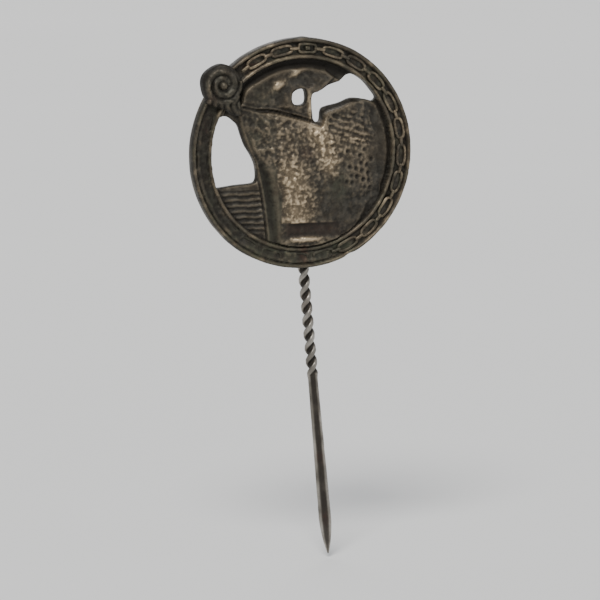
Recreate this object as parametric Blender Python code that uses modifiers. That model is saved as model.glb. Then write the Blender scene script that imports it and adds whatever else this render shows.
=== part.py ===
"""Stick pin: a small round openwork badge, struck with a ship's bow inside a chain rim, on a twisted needle.

The badge stands in the XZ plane and faces -Y. The origin is the centre of the rim's back face, and the
needle hangs down behind the badge. Every sub-part is one closed object, and the pieces that are soldered
to each other keep a hair's gap.
"""

import math

import bmesh
import bpy
from mathutils import Matrix, Vector

# Driving dimensions, in metres.
BADGE_RADIUS = 0.00800
RIM_WIDTH = 0.00145
RIM_HEIGHT = 0.00110
BEAD_WIDTH = 0.00026
CHANNEL_DEPTH = 0.00032
PLATE_THICKNESS = 0.00068
BACK_RECESS = 0.00006
HULL_HEIGHT = 0.00165
LINK_COUNT = 24
LINK_SHARE = 0.86
CHAIN_START = math.radians(-2.7)
LINK_WIDTH = 0.00076
LINK_WIRE = 0.00022
LINK_HEIGHT = 0.00030
WAVE_COUNT = 8
WAVE_WIRE = 0.00012
STEM_WIRE = 0.00019
DECK_WIRE = 0.00015
SCROLL_RADIUS = 0.00140
SCROLL_BASE = 0.00034
SCROLL_LIP = 0.00032
SCROLL_WIRE = 0.00021
SCROLL_TURNS = 1.75
WIRE_WIDTH = 0.00078
WIRE_DEPTH = 0.00050
GROOVE_DEPTH = 0.00009
SHANK_WIDTH = 0.00068
POINT_WIDTH = 0.00088
TWIST_LENGTH = 0.00775
HALF_TURNS = 8
SHANK_TURN = math.radians(12)
NEEDLE_BELOW_RIM = 0.02060
POINT_LENGTH = 0.00270
POINT_TIP = 0.00009
NEEDLE_LEAN = math.radians(5.2)
NEEDLE_OFFSET = 0.00044
PADDLE_LENGTH = 0.00230
PADDLE_WIDTH = 0.00120
PADDLE_THICKNESS = 0.00036
PADDLE_ABOVE_RIM = 0.00320
SOLDER_SPREAD = 0.00065
SOLDER_HEIGHT = 0.00074
SADDLE_SPREAD = 0.00042
SADDLE_HEIGHT = 0.00092
GAP = 0.00003
SUNK = 0.23

# Sizes that follow from them.
FIELD = BADGE_RADIUS - RIM_WIDTH
CHANNEL_RADIUS = BADGE_RADIUS - RIM_WIDTH / 2
CHANNEL_FLOOR = RIM_HEIGHT - CHANNEL_DEPTH
LINK_PITCH = 2 * math.pi * CHANNEL_RADIUS / LINK_COUNT
LINK_LENGTH = LINK_PITCH * LINK_SHARE
PLATE_FRONT = BACK_RECESS + PLATE_THICKNESS
NEEDLE_BACK = GAP + WIRE_DEPTH / 2

FACING = Matrix.Rotation(math.pi / 2, 4, "X")
MERGE = 1e-7
RIM_STEPS = 96
SHARP_ANGLE = math.radians(35)

# The picture inside the rim, drawn in shares of the field's radius: x to the right, y up.
STEM_LINE = [(-0.70, 0.50), (-0.685, 0.32), (-0.56, 0.0), (-0.49, -0.22), (-0.45, -0.44), (-0.41, -0.72), (-0.39, -0.94)]
SHEER_LINE = [(-0.70, 0.50), (-0.50, 0.465), (-0.34, 0.452), (-0.14, 0.405), (0.11, 0.33)]
BULWARK_LINE = [(-0.70, 0.50), (-0.64, 0.68), (-0.48, 0.79), (-0.32, 0.865), (-0.16, 0.905), (0.08, 0.915), (0.28, 0.86)]
MIDSHIP_LINE = [(0.20, 0.31), (0.235, 0.445), (0.43, 0.51), (0.565, 0.557), (0.72, 0.54), (0.80, 0.515)]
PROW_OPENING = [(-0.81, 0.405), (-0.725, 0.355), (-0.695, 0.30), (-0.655, 0.19), (-0.615, 0.095),
                (-0.56, -0.005), (-0.50, -0.13), (-0.492, -0.23), (-0.525, -0.30)]
STERN_OPENING = [(0.115, 0.61), (0.21, 0.655), (0.305, 0.715), (0.445, 0.757), (0.50, 0.81), (0.58, 0.815),
                 (0.70, 0.743), (0.80, 0.625), (0.835, 0.56), (0.80, 0.525), (0.72, 0.548), (0.565, 0.565),
                 (0.43, 0.518), (0.29, 0.488), (0.225, 0.455), (0.20, 0.33), (0.14, 0.335), (0.108, 0.40)]
DECK_OPENING = [(-0.095, 0.645), (-0.03, 0.68), (0.035, 0.67), (0.055, 0.60), (0.05, 0.53), (-0.02, 0.51), (-0.095, 0.53),
                (-0.11, 0.59)]
LEDGE = 0.985
HULL_SHARE = 0.993
HULL_MIDDLE = (0.10, -0.14)
HULL_SPAN = (1.10, 1.22)
SCROLL_CENTRE = (-0.893, 0.748)
SCROLL_NECK = [(-1.076, 0.573), (-0.84, 0.489), (-0.779, 0.443)]
SCROLL_TAIL = [(-0.68, 0.43), (-0.70, 0.52), (-0.745, 0.61)]


def clear_scene():
    for old in list(bpy.data.objects):
        bpy.data.objects.remove(old, do_unlink=True)


def make_collection(name):
    made = bpy.data.collections.new(name)
    bpy.context.scene.collection.children.link(made)
    return made


def material(name, colour, roughness, metallic):
    made = bpy.data.materials.new(name)
    made.use_nodes = True
    shader = made.node_tree.nodes["Principled BSDF"]
    shader.inputs["Base Color"].default_value = (*colour, 1.0)
    shader.inputs["Roughness"].default_value = roughness
    shader.inputs["Metallic"].default_value = metallic
    return made


def field(points):
    """Shares of the field's radius, as metres on the badge's face."""
    return [(x * FIELD, y * FIELD) for x, y in points]


def arc(radius, start, end, steps):
    """Points on a circle about the badge's centre, angles in degrees."""
    angles = [math.radians(start + (end - start) * i / steps) for i in range(steps + 1)]
    return [(radius * math.cos(a), radius * math.sin(a)) for a in angles]


def angle_of(point):
    return math.degrees(math.atan2(point[1], point[0]))


def smooth(mesh):
    """Smooth shading on round stretches, crisp on the edges."""
    mesh.shade_smooth()
    mesh.set_sharp_from_angle(angle=SHARP_ANGLE)


def as_mesh(curve_object, name):
    """Replace a curve with the welded mesh that it draws, at the same place."""
    bpy.context.view_layer.update()
    evaluated = curve_object.evaluated_get(bpy.context.evaluated_depsgraph_get())
    mesh = bpy.data.meshes.new_from_object(evaluated)
    mesh.name = name
    shape = bmesh.new()
    shape.from_mesh(mesh)
    bmesh.ops.remove_doubles(shape, verts=shape.verts, dist=MERGE)
    bmesh.ops.recalc_face_normals(shape, faces=shape.faces)
    shape.to_mesh(mesh)
    shape.free()
    smooth(mesh)
    made = bpy.data.objects.new(name, mesh)
    curve_object.users_collection[0].objects.link(made)
    made.matrix_world = curve_object.matrix_world.copy()
    bpy.data.objects.remove(curve_object, do_unlink=True)
    return made


def outline(name, loops, low, high, into):
    """A flat outline on the badge's face, filled and raised from height low to height high."""
    curve = bpy.data.curves.new(name, "CURVE")
    curve.dimensions = "2D"
    curve.fill_mode = "BOTH"
    curve.extrude = (high - low) / 2
    for points in loops:
        spline = curve.splines.new("POLY")
        spline.points.add(len(points) - 1)
        for knot, (x, y) in zip(spline.points, points):
            knot.co = (x, y, 0.0, 1.0)
        spline.use_cyclic_u = True
    drawn = bpy.data.objects.new(name + "_outline", curve)
    into.objects.link(drawn)
    drawn.matrix_world = FACING @ Matrix.Translation((0.0, 0.0, (low + high) / 2))
    return as_mesh(drawn, name)


def bead(name, points, radius, into, resolution):
    """A round wire along points (x, y, height) on the badge's face, with closed ends."""
    curve = bpy.data.curves.new(name, "CURVE")
    curve.dimensions = "3D"
    curve.bevel_depth = radius
    curve.bevel_resolution = 2
    curve.use_fill_caps = True
    curve.resolution_u = resolution
    spline = curve.splines.new("BEZIER")
    spline.bezier_points.add(len(points) - 1)
    for knot, point in zip(spline.bezier_points, points):
        knot.co = point
        knot.handle_left_type = knot.handle_right_type = "AUTO"
    drawn = bpy.data.objects.new(name + "_route", curve)
    into.objects.link(drawn)
    drawn.matrix_world = FACING
    return as_mesh(drawn, name)


def boolean(target, operand, operation):
    """Join, cut or keep the common part of target and another object or collection."""
    change = target.modifiers.new(operation.lower(), "BOOLEAN")
    change.operation = operation
    change.solver = "EXACT"
    if isinstance(operand, bpy.types.Collection):
        change.operand_type = "COLLECTION"
        change.collection = operand
    else:
        change.object = operand


def ball(name, into):
    """A unit ball, to be stretched into a mound or a bulge."""
    mesh = bpy.data.meshes.new(name)
    shape = bmesh.new()
    bmesh.ops.create_uvsphere(shape, u_segments=32, v_segments=16, radius=1.0)
    shape.to_mesh(mesh)
    shape.free()
    mesh.shade_smooth()
    made = bpy.data.objects.new(name, mesh)
    into.objects.link(made)
    return made


def block(name, sizes, into):
    """A box of these three sizes, centred on its own origin."""
    mesh = bpy.data.meshes.new(name)
    shape = bmesh.new()
    bmesh.ops.create_cube(shape, size=1.0)
    bmesh.ops.scale(shape, vec=sizes, verts=shape.verts)
    shape.to_mesh(mesh)
    shape.free()
    made = bpy.data.objects.new(name, mesh)
    into.objects.link(made)
    return made


def make_guide(made):
    made.hide_render = True
    made.display_type = "WIRE"


def rim_ring(name, into):
    """The turned rim: an outer bead, the chain's channel and an inner rail."""
    outer, inner = BADGE_RADIUS, FIELD
    soft = BEAD_WIDTH * 0.3
    profile = [
        (outer - BEAD_WIDTH, CHANNEL_FLOOR),
        (outer - BEAD_WIDTH * 0.8, RIM_HEIGHT - soft * 0.4),
        (outer - BEAD_WIDTH / 2, RIM_HEIGHT),
        (outer - soft * 0.4, RIM_HEIGHT - soft),
        (outer, RIM_HEIGHT - BEAD_WIDTH),
        (outer, soft),
        (outer - soft, 0.0),
        (inner + soft, 0.0),
        (inner, soft),
        (inner, RIM_HEIGHT - BEAD_WIDTH),
        (inner + BEAD_WIDTH * 0.4, RIM_HEIGHT - soft),
        (inner + BEAD_WIDTH, CHANNEL_FLOOR),
    ]
    mesh = bpy.data.meshes.new(name)
    count = len(profile)
    mesh.from_pydata([(x, 0.0, z) for x, z in profile], [(i, (i + 1) % count) for i in range(count)], [])
    made = bpy.data.objects.new(name, mesh)
    into.objects.link(made)
    made.matrix_world = FACING
    screw = made.modifiers.new("turn", "SCREW")
    screw.steps = screw.render_steps = RIM_STEPS
    screw.use_merge_vertices = True
    screw.merge_threshold = MERGE
    screw.use_smooth_shade = True
    return made


def stadium(length, width, steps=5):
    """A slot's outline: two straight sides and two round ends, centred, with its length along y."""
    radius, half = width / 2, (length - width) / 2
    turn = [math.pi * i / steps for i in range(steps + 1)]
    top = [(radius * math.cos(a), half + radius * math.sin(a)) for a in turn]
    return top + [(-x, -y) for x, y in top]


def under_scroll(x, y):
    """Whether a chain link at this place would lie under the scroll."""
    middle = Vector(field([SCROLL_CENTRE])[0])
    return (Vector((x, y)) - middle).length < SCROLL_RADIUS + LINK_LENGTH / 2


def chain(reliefs, guides):
    """Flat links in the channel, each joined to the next by a link seen edge on."""
    length, width, wire = LINK_LENGTH, LINK_WIDTH, LINK_WIRE
    low, high = CHANNEL_FLOOR - LINK_HEIGHT / 3, CHANNEL_FLOOR + LINK_HEIGHT
    loops = [stadium(length, width), stadium(length - 2 * wire, width - 2 * wire)]
    link = outline("link", loops, low, high, guides)
    bar_length = LINK_PITCH - length + 3 * wire
    bar = outline("bar", [stadium(bar_length, wire, 3)], low, high + wire / 3, guides)
    for index in range(LINK_COUNT):
        for source, place in ((link, index), (bar, index + 0.5)):
            turn = CHAIN_START + 2 * math.pi * place / LINK_COUNT
            x, y = -CHANNEL_RADIUS * math.sin(turn), CHANNEL_RADIUS * math.cos(turn)
            if under_scroll(x, y):
                continue
            copy = bpy.data.objects.new(f"{source.name}_{index}", source.data)
            reliefs.objects.link(copy)
            spin = Matrix.Rotation(turn + math.pi / 2, 4, "Z")
            copy.matrix_world = FACING @ Matrix.Translation((x, y, 0.0)) @ spin @ source_height(source)
    for source in (link, bar):
        bpy.data.objects.remove(source, do_unlink=True)


def source_height(source):
    """The height at which a piece was drawn above the badge's back."""
    return Matrix.Translation((0.0, 0.0, (FACING.inverted() @ source.matrix_world).translation.z))


def hull_height(x, y):
    """Height of the hull's bulge above the badge's back at one place, or the plate's where it is lower."""
    across, along = (x - HULL_MIDDLE[0] * FIELD) / HULL_SPAN[0], (y - HULL_MIDDLE[1] * FIELD) / HULL_SPAN[1]
    left = max(0.0, 1.0 - (across**2 + along**2) / FIELD**2)
    return max(PLATE_FRONT, HULL_HEIGHT * math.sqrt(left))


def hull(reliefs, guides):
    """The bulging side of the ship: a flattened ball inside the hull's outline."""
    lowest, starboard = angle_of(STEM_LINE[-1]), angle_of(MIDSHIP_LINE[-1])
    edge = arc(FIELD * LEDGE, lowest + 360.0, starboard + 360.0, 22)
    loop = field(SHEER_LINE[::-1] + STEM_LINE[1:-1]) + edge + field(MIDSHIP_LINE[::-1][1:])
    loop = [(x * HULL_SHARE, y * HULL_SHARE) for x, y in loop]
    made = outline("hull", [loop], PLATE_FRONT / 2, HULL_HEIGHT + RIM_HEIGHT, reliefs)
    bulge = ball("hull_bulge", guides)
    middle = Matrix.Translation((*field([HULL_MIDDLE])[0], 0.0))
    spans = Matrix.Diagonal((FIELD * HULL_SPAN[0], FIELD * HULL_SPAN[1], HULL_HEIGHT, 1.0))
    bulge.matrix_world = FACING @ middle @ spans
    boolean(made, bulge, "INTERSECT")


def ship_lines(reliefs):
    """The raised stem, sheer strake, bulwark and midship lines."""
    for name, line, wire, on_hull in (
        ("stem", STEM_LINE, STEM_WIRE, False),
        ("sheer", SHEER_LINE, DECK_WIRE, True),
        ("bulwark", BULWARK_LINE, DECK_WIRE, False),
        ("midship", MIDSHIP_LINE, DECK_WIRE, False),
    ):
        points = []
        for x, y in field(line):
            surface = hull_height(x, y) if on_hull else PLATE_FRONT
            points.append((x, y, surface - SUNK * wire))
        bead(name, points, wire, reliefs, 3)


def waves(reliefs):
    """Level ripples across the panel below the prow's opening."""
    top, bottom = -0.375 * FIELD, -0.80 * FIELD
    for index in range(WAVE_COUNT):
        y = top + (bottom - top) * index / (WAVE_COUNT - 1)
        left = -math.sqrt((FIELD * LEDGE) ** 2 - y**2)
        right = FIELD * (-0.44 + 0.09 * index / WAVE_COUNT)
        points = []
        for step in range(5):
            x = left + (right - left) * step / 4
            rise = WAVE_WIRE * 0.5 * math.sin(step * math.pi / 2 + index)
            points.append((x, y + rise, PLATE_FRONT - SUNK * WAVE_WIRE))
        bead(f"wave_{index}", points, WAVE_WIRE, reliefs, 2)


def ledge_opening():
    """The opening behind the prow, whose outer side follows the rim."""
    right = field(PROW_OPENING)
    edge = arc(FIELD * LEDGE, 199.0, 155.5, 8)
    return right + edge


def badge_plate(parts, reliefs, guides):
    """The struck badge: rim, pierced plate and everything raised on it, in one piece."""
    made = rim_ring("badge_plate", parts)
    disc = arc(FIELD + RIM_WIDTH / 3, 0.0, 360.0, 72)[:-1]
    holes = [ledge_opening(), field(STERN_OPENING), field(DECK_OPENING)]
    outline("plate", [disc], BACK_RECESS, PLATE_FRONT, reliefs)
    chain(reliefs, guides)
    hull(reliefs, guides)
    ship_lines(reliefs)
    waves(reliefs)
    boolean(made, reliefs, "UNION")
    for index, loop in enumerate(holes):
        cutter = outline(f"opening_{index}", [loop], -RIM_HEIGHT, 2 * HULL_HEIGHT, guides)
        boolean(made, cutter, "DIFFERENCE")
    made.data.materials.append(material("tarnished_silver", (0.26, 0.235, 0.20), 0.50, 0.9))
    return made


def billethead_scroll(parts, guides):
    """The plain scroll on the prow: a base that hooks over the rim, with a wire volute down to the stem."""
    centre = Vector(field([SCROLL_CENTRE])[0])
    low = RIM_HEIGHT + GAP
    seat = low + SCROLL_BASE
    around = [(centre.x + SCROLL_RADIUS * math.cos(a), centre.y + SCROLL_RADIUS * math.sin(a))
              for a in (math.radians(-20 + 15 * i) for i in range(17))]
    tail = field(SCROLL_TAIL)
    made = outline("billethead_scroll", [around + field(SCROLL_NECK) + tail], SCROLL_LIP, seat, parts)
    outside = arc(BADGE_RADIUS + GAP, 0.0, 360.0, RIM_STEPS)[:-1]
    inside = arc(FIELD - GAP, 0.0, 360.0, RIM_STEPS)[:-1]
    foot = PLATE_FRONT + SCROLL_WIRE
    for name, loops, high in (("plate_room", [outside], foot), ("rim_room", [outside, inside], low)):
        boolean(made, outline(name, loops, -RIM_HEIGHT, high, guides), "DIFFERENCE")
    height = seat - SUNK * SCROLL_WIRE
    steps = int(SCROLL_TURNS * 16)
    points = []
    for i in range(steps + 1):
        share = i / steps
        turn = math.radians(-30) + 2 * math.pi * SCROLL_TURNS * (1 - share)
        reach = (SCROLL_RADIUS - SCROLL_WIRE) * (0.16 + 0.84 * share)
        points.append((centre.x + reach * math.cos(turn), centre.y + reach * math.sin(turn), height))
    points += [(x - SCROLL_RADIUS * 0.2, y - SCROLL_RADIUS * 0.16, height) for x, y in tail[:0:-1]]
    spiral = bead("volute", points, SCROLL_WIRE, guides, 1)
    boolean(made, spiral, "UNION")
    made.data.materials.append(material("worn_scroll", (0.29, 0.26, 0.22), 0.45, 0.9))
    return made


def grooved_strip(width, depth, groove):
    """The wire's outline: two round edges with a shallow groove along each face between them."""
    round_edge = depth / 2
    arcs = [math.radians(75 * step / 2) for step in range(-2, 3)]
    edge = [(width / 2 - round_edge + round_edge * math.cos(a), round_edge * math.sin(a)) for a in arcs]
    half = edge + [(0.0, depth / 2 - groove)]
    return half + [(-x, -y) for x, y in half]


def needle_axis():
    """The needle's own frame: its root above the rim's lower edge, leaning as it hangs."""
    slope = math.tan(NEEDLE_LEAN)
    root = Vector((NEEDLE_OFFSET - PADDLE_ABOVE_RIM * slope, NEEDLE_BACK, PADDLE_ABOVE_RIM - BADGE_RADIUS))
    return Matrix.Translation(root) @ Matrix.Rotation(-NEEDLE_LEAN, 4, "Y")


def wire_stations(clearance):
    """Distance from the root, twist and share of the wire's size along the needle."""
    start = PADDLE_ABOVE_RIM / math.cos(NEEDLE_LEAN)
    length = start + NEEDLE_BELOW_RIM / math.cos(NEEDLE_LEAN)
    stations = [(PADDLE_LENGTH * 0.75 - clearance, 0.0, 1.0), (start, 0.0, 1.0)]
    steps = HALF_TURNS * 6
    turned = HALF_TURNS * math.pi + SHANK_TURN
    for i in range(1, steps + 1):
        share = i / steps
        stations.append((start + TWIST_LENGTH * share, turned * share, 1.0))
    shank = length - POINT_LENGTH - start - TWIST_LENGTH
    stations.append((start + TWIST_LENGTH + shank * 0.06, turned, SHANK_WIDTH / WIRE_WIDTH))
    for i in range(7):
        share = i / 6
        width = POINT_WIDTH - (POINT_WIDTH - POINT_TIP) * share**1.9
        stations.append((length - POINT_LENGTH * (1 - share), turned, width / WIRE_WIDTH))
    return stations


def needle_wire(name, clearance, groove, into, guides):
    """The grooved wire, twisted below the badge and drawn to a point, or the room that it needs."""
    profile = bpy.data.curves.new(name + "_section", "CURVE")
    profile.dimensions = "2D"
    profile.fill_mode = "NONE"
    loop = grooved_strip(WIRE_WIDTH + 2 * clearance, WIRE_DEPTH + 2 * clearance, groove)
    section = profile.splines.new("POLY")
    section.points.add(len(loop) - 1)
    for knot, (x, y) in zip(section.points, loop):
        knot.co = (x, y, 0.0, 1.0)
    section.use_cyclic_u = True
    section_object = bpy.data.objects.new(name + "_section", profile)
    guides.objects.link(section_object)
    curve = bpy.data.curves.new(name, "CURVE")
    curve.dimensions = "3D"
    curve.twist_mode = "Z_UP"
    curve.bevel_mode = "OBJECT"
    curve.bevel_object = section_object
    curve.use_fill_caps = True
    spline = curve.splines.new("POLY")
    stations = wire_stations(clearance)
    spline.points.add(len(stations) - 1)
    for knot, (distance, twist, share) in zip(spline.points, stations):
        knot.co = (0.0, 0.0, -distance, 1.0)
        knot.tilt = twist
        knot.radius = share
    drawn = bpy.data.objects.new(name + "_route", curve)
    into.objects.link(drawn)
    drawn.matrix_world = needle_axis()
    solid = as_mesh(drawn, name)
    bpy.data.objects.remove(section_object, do_unlink=True)
    return solid


def paddle(name, into, clearance=0.0):
    """The needle's flattened head, lying on the badge's back."""
    sizes = (PADDLE_WIDTH + 2 * clearance, PADDLE_THICKNESS + 2 * clearance, PADDLE_LENGTH + 2 * clearance)
    made = block(name, sizes, into)
    middle = (0.0, GAP + PADDLE_THICKNESS / 2 - NEEDLE_BACK, -PADDLE_LENGTH / 2)
    made.matrix_world = needle_axis() @ Matrix.Translation(middle)
    soften = made.modifiers.new("soften", "BEVEL")
    soften.width = PADDLE_THICKNESS * 0.3
    soften.segments = 2
    return made


def needle(parts, guides):
    """One wire from its flattened head behind the badge to its point."""
    made = needle_wire("needle", 0.0, GROOVE_DEPTH, parts, guides)
    head = paddle("needle_head", guides)
    boolean(made, head, "UNION")
    made.data.materials.append(material("needle_steel", (0.20, 0.17, 0.14), 0.42, 0.9))
    return made


def solder_mound(name, parts, guides, distance, spans, colour):
    """A mound of solder on the badge's back, bridging the needle at a distance below its root.

    Its spans are half its width, its height and half its length along the needle.
    """
    made = ball(name, parts)
    foot = needle_axis() @ Matrix.Translation((0.0, GAP - NEEDLE_BACK, -distance))
    made.matrix_world = foot @ Matrix.Diagonal((*spans, 1.0))
    room = 4 * max(spans)
    floor = block(name + "_floor", (room, room, room), guides)
    floor.matrix_world = foot @ Matrix.Translation((0.0, -room / 2, 0.0))
    boolean(made, floor, "DIFFERENCE")
    boolean(made, paddle(name + "_head_room", guides, GAP), "DIFFERENCE")
    shaft_room = needle_wire(name + "_shaft_room", GAP, 0.0, guides, guides)
    boolean(made, shaft_room, "DIFFERENCE")
    made.data.materials.append(material(name + "_tin", colour, 0.38, 0.85))
    return made


def main():
    clear_scene()
    parts = make_collection("stick_pin")
    reliefs = make_collection("reliefs")
    guides = make_collection("cutters")
    badge_plate(parts, reliefs, guides)
    billethead_scroll(parts, guides)
    needle(parts, guides)
    head = (PADDLE_WIDTH / 2 + SOLDER_SPREAD, SOLDER_HEIGHT, PADDLE_LENGTH * 0.42)
    solder_mound("solder_head", parts, guides, PADDLE_LENGTH / 2, head, (0.33, 0.32, 0.30))
    saddle = (WIRE_WIDTH / 2 + SADDLE_SPREAD, SADDLE_HEIGHT, RIM_WIDTH * 0.42)
    solder_mound("solder_rim", parts, guides, PADDLE_ABOVE_RIM - RIM_WIDTH / 2, saddle, (0.31, 0.30, 0.28))
    for helper in (*reliefs.objects, *guides.objects):
        make_guide(helper)


main()
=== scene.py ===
"""Looks of a small struck stick pin: its worn relief, chain rim, prow scroll, twisted needle and solder.

The badge stands in the XZ plane and faces -Y. Relief is worked out in millimetres on the badge's face:
x to the right, z up, and height from the badge's back towards the viewer.
"""

import math

import bpy
import numpy as np
from bpy.props import FloatProperty, FloatVectorProperty, IntProperty, PointerProperty
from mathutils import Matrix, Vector


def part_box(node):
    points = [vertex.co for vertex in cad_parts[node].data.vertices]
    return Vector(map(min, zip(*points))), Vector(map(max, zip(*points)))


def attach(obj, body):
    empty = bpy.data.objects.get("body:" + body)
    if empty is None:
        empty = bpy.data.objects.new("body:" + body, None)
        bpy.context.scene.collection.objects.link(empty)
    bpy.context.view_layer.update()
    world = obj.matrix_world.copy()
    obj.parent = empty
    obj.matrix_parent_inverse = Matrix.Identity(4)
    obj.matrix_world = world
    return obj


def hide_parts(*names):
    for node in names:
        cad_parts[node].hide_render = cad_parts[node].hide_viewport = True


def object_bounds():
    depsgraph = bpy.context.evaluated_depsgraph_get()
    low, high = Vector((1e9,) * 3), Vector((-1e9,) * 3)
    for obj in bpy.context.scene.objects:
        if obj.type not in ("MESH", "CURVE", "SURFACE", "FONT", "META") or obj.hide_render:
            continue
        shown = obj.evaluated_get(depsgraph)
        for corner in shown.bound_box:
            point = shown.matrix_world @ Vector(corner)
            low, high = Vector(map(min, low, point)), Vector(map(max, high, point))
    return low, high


bl_info = {
    "name": "Stick pin looks",
    "version": (1, 0, 0),
    "blender": (4, 5, 0),
    "location": "3D View > Sidebar > Stick pin",
    "description": "Builds the detailed surfaces of a struck stick pin around its solid parts",
    "category": "Object",
}

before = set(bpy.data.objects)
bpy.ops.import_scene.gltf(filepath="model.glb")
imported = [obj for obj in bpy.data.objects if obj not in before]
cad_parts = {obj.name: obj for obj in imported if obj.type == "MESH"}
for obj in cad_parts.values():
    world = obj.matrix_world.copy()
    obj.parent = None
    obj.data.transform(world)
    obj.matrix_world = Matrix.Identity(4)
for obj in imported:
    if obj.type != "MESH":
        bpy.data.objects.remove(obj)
CAD_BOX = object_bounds()
PLATE_LOW, PLATE_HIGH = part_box("badge_plate")
NEEDLE_LOW, NEEDLE_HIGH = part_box("needle")
HEAD_LOW, HEAD_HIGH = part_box("solder_head")
SADDLE_LOW, SADDLE_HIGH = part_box("solder_rim")

# Sizes on the badge's face, in millimetres.
MM = 0.001
RIM_WIDTH = 1.45
RADIUS = (PLATE_HIGH.x - PLATE_LOW.x) / 2 / MM
FIELD = RADIUS - RIM_WIDTH
CHANNEL = RADIUS - RIM_WIDTH / 2
GAP = 0.03  # between soldered pieces
THINNEST = 0.05  # metal left between a relief's front and its reverse
BURIED = 0.08  # an edge-on link that sits deeper in the dirt is left out
NEEDLE_OFFSET = 0.44  # from the middle, where the needle crosses the rim
LEAN = math.radians(5.2)
HALF_TURNS = 8
SHANK_TURN = math.radians(12)
FIRST_LINK = 87.3  # degrees round the rim
LINK_SIDES = 10
WIRE_SIDES = 40

# Lines of the picture on the badge's face, in millimetres.
STEM = [(-4.6, 3.3), (-4.48, 2.15), (-3.62, -0.23), (-3.23, -1.48), (-2.96, -2.73), (-2.7, -4.59), (-2.5, -6.6)]
SHEER = [(-4.54, 3.33), (-3.25, 3.04), (-2.22, 2.97), (-0.94, 2.66), (0.0, 2.4), (0.86, 2.1)]
BULWARK = [(-4.5, 3.5), (-4.18, 4.5), (-3.15, 5.19), (-2.12, 5.69), (-1.09, 5.95), (0.45, 6.0), (1.7, 5.78)]
MIDSHIP = [(1.2, 2.02), (1.62, 2.86), (2.8, 3.26), (3.7, 3.56), (4.73, 3.48), (5.4, 3.1)]
PROW_OPENING = [(-6.1, 2.44), (-5.85, 2.68), (-5.3, 2.66), (-4.86, 2.36), (-4.54, 2.01), (-4.28, 1.26), (-4.03, 0.63),
                (-3.64, 0.0), (-3.36, -0.6), (-3.25, -1.2), (-3.27, -1.72), (-3.55, -1.98), (-4.8, -2.08),
                (-6.05, -2.22), (-6.28, -2.08), (-6.42, -1.4), (-6.49, -0.74), (-6.49, 0.49), (-6.36, 1.72)]
STERN_OPENING = [(0.74, 4.02), (1.36, 4.27), (2.01, 4.67), (2.91, 4.96), (3.32, 5.3), (3.81, 5.34), (4.58, 4.87),
                 (5.23, 4.12), (5.5, 3.7), (5.24, 3.45), (4.73, 3.58), (3.7, 3.69), (2.8, 3.37), (1.9, 3.17),
                 (1.51, 2.94), (1.4, 2.2), (1.16, 2.1), (0.96, 2.26), (0.86, 2.9)]
DECK_OPENING = [(-0.62, 4.22), (-0.2, 4.45), (0.22, 4.4), (0.35, 4.0), (0.32, 3.5), (0.0, 3.32), (-0.42, 3.34),
                (-0.66, 3.52), (-0.72, 3.88)]
SCROLL_EYE = (-5.85, 4.9)
SCROLL_LEAF = [(-6.92, 4.05), (-7.06, 3.72), (-6.45, 3.42), (-5.75, 3.24), (-5.3, 2.98), (-4.95, 2.8), (-4.45, 2.8),
               (-4.5, 3.3), (-4.62, 3.75), (-4.66, 4.3), (-5.2, 4.8), (-6.2, 4.8)]

# Soft patches on the face: amount, place x and z, span along and across, turn.
EDGE_MARKS = [(0.055, 0.2, 8.0, 0.35, 0.6, 0.0), (-0.07, 3.45, -7.2, 0.38, 0.38, 0.0)]
DECK_LUMPS = [(0.2, -0.5, 5.55, 0.5, 0.22, 0.5), (0.16, -1.75, 4.75, 0.42, 0.28, 0.7),
              (0.08, -2.6, 4.1, 0.5, 0.3, 0.0), (0.1, -1.0, 3.75, 0.35, 0.5, -0.3)]
HULL_MARKS = [(-0.1, 4.0, 1.1, 0.5, 0.09, -0.28), (0.12, 4.02, 0.84, 0.5, 0.09, -0.28),
              (0.08, 3.85, 1.33, 0.5, 0.09, -0.28), (-0.05, 4.75, 0.66, 0.5, 0.09, -0.28),
              (-0.05, 3.2, -5.3, 1.0, 0.3, 0.45), (0.08, -1.1, -6.42, 0.2, 0.1, 0.0),
              (0.08, 1.5, -6.22, 0.22, 0.1, 0.0)]
SOFT_RUBS = [(0.26, -0.9, 1.2, 2.2, 1.7, 0.0), (0.22, 3.2, 1.0, 1.8, 1.5, 0.0)]
# Painted highlights: slanting strokes on the hull, the strut between the deck's and the stern's openings, and two lumps
# on the deck.
PAINTED_HIGHLIGHTS = [(0.35, 4.0, 0.85, 0.7, 0.14, -0.28), (0.5, 0.52, 3.4, 0.15, 0.9, 0.0),
                (0.55, -1.75, 4.75, 0.6, 0.35, 0.7), (0.5, -0.5, 5.5, 0.5, 0.2, 0.5)]
GREEN_PATCHES = [(0.75, 2.5, -2.3, 0.7, 0.95, 0.0), (0.45, -3.2, 1.6, 1.0, 1.5, 0.0),
                 (0.45, 3.0, 6.0, 2.6, 0.9, -0.5), (0.4, -2.6, 4.3, 0.9, 0.6, 0.0), (0.3, -7.2, 0.6, 0.5, 2.4, 0.0)]
RUSSET_SPOTS = [(0.8, 0.08, -7.0, 0.3, 0.75, 0.0), (0.7, -3.7, 6.2, 0.5, 0.35, 0.0),
                (0.45, -7.0, 2.0, 0.35, 0.9, 0.0), (0.35, 0.1, 0.1, 0.5, 0.5, 0.0)]


# --- maths on the badge's face


def unit(value):
    """The value, held between 0 and 1."""
    return np.clip(value, 0.0, 1.0)


def ease(value, low, high):
    """0 below low, 1 above high, and smooth between."""
    share = unit((value - low) / (high - low))
    return share * share * (3.0 - 2.0 * share)


def between(value, a, b, c, d):
    """0 outside a to d, 1 from b to c, and smooth between."""
    return ease(value, a, b) * ease(-value, -d, -c)


def bell(distance, width):
    """1 at no distance, and falling off smoothly over the width."""
    return np.exp(-((distance / width) ** 2))


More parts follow.
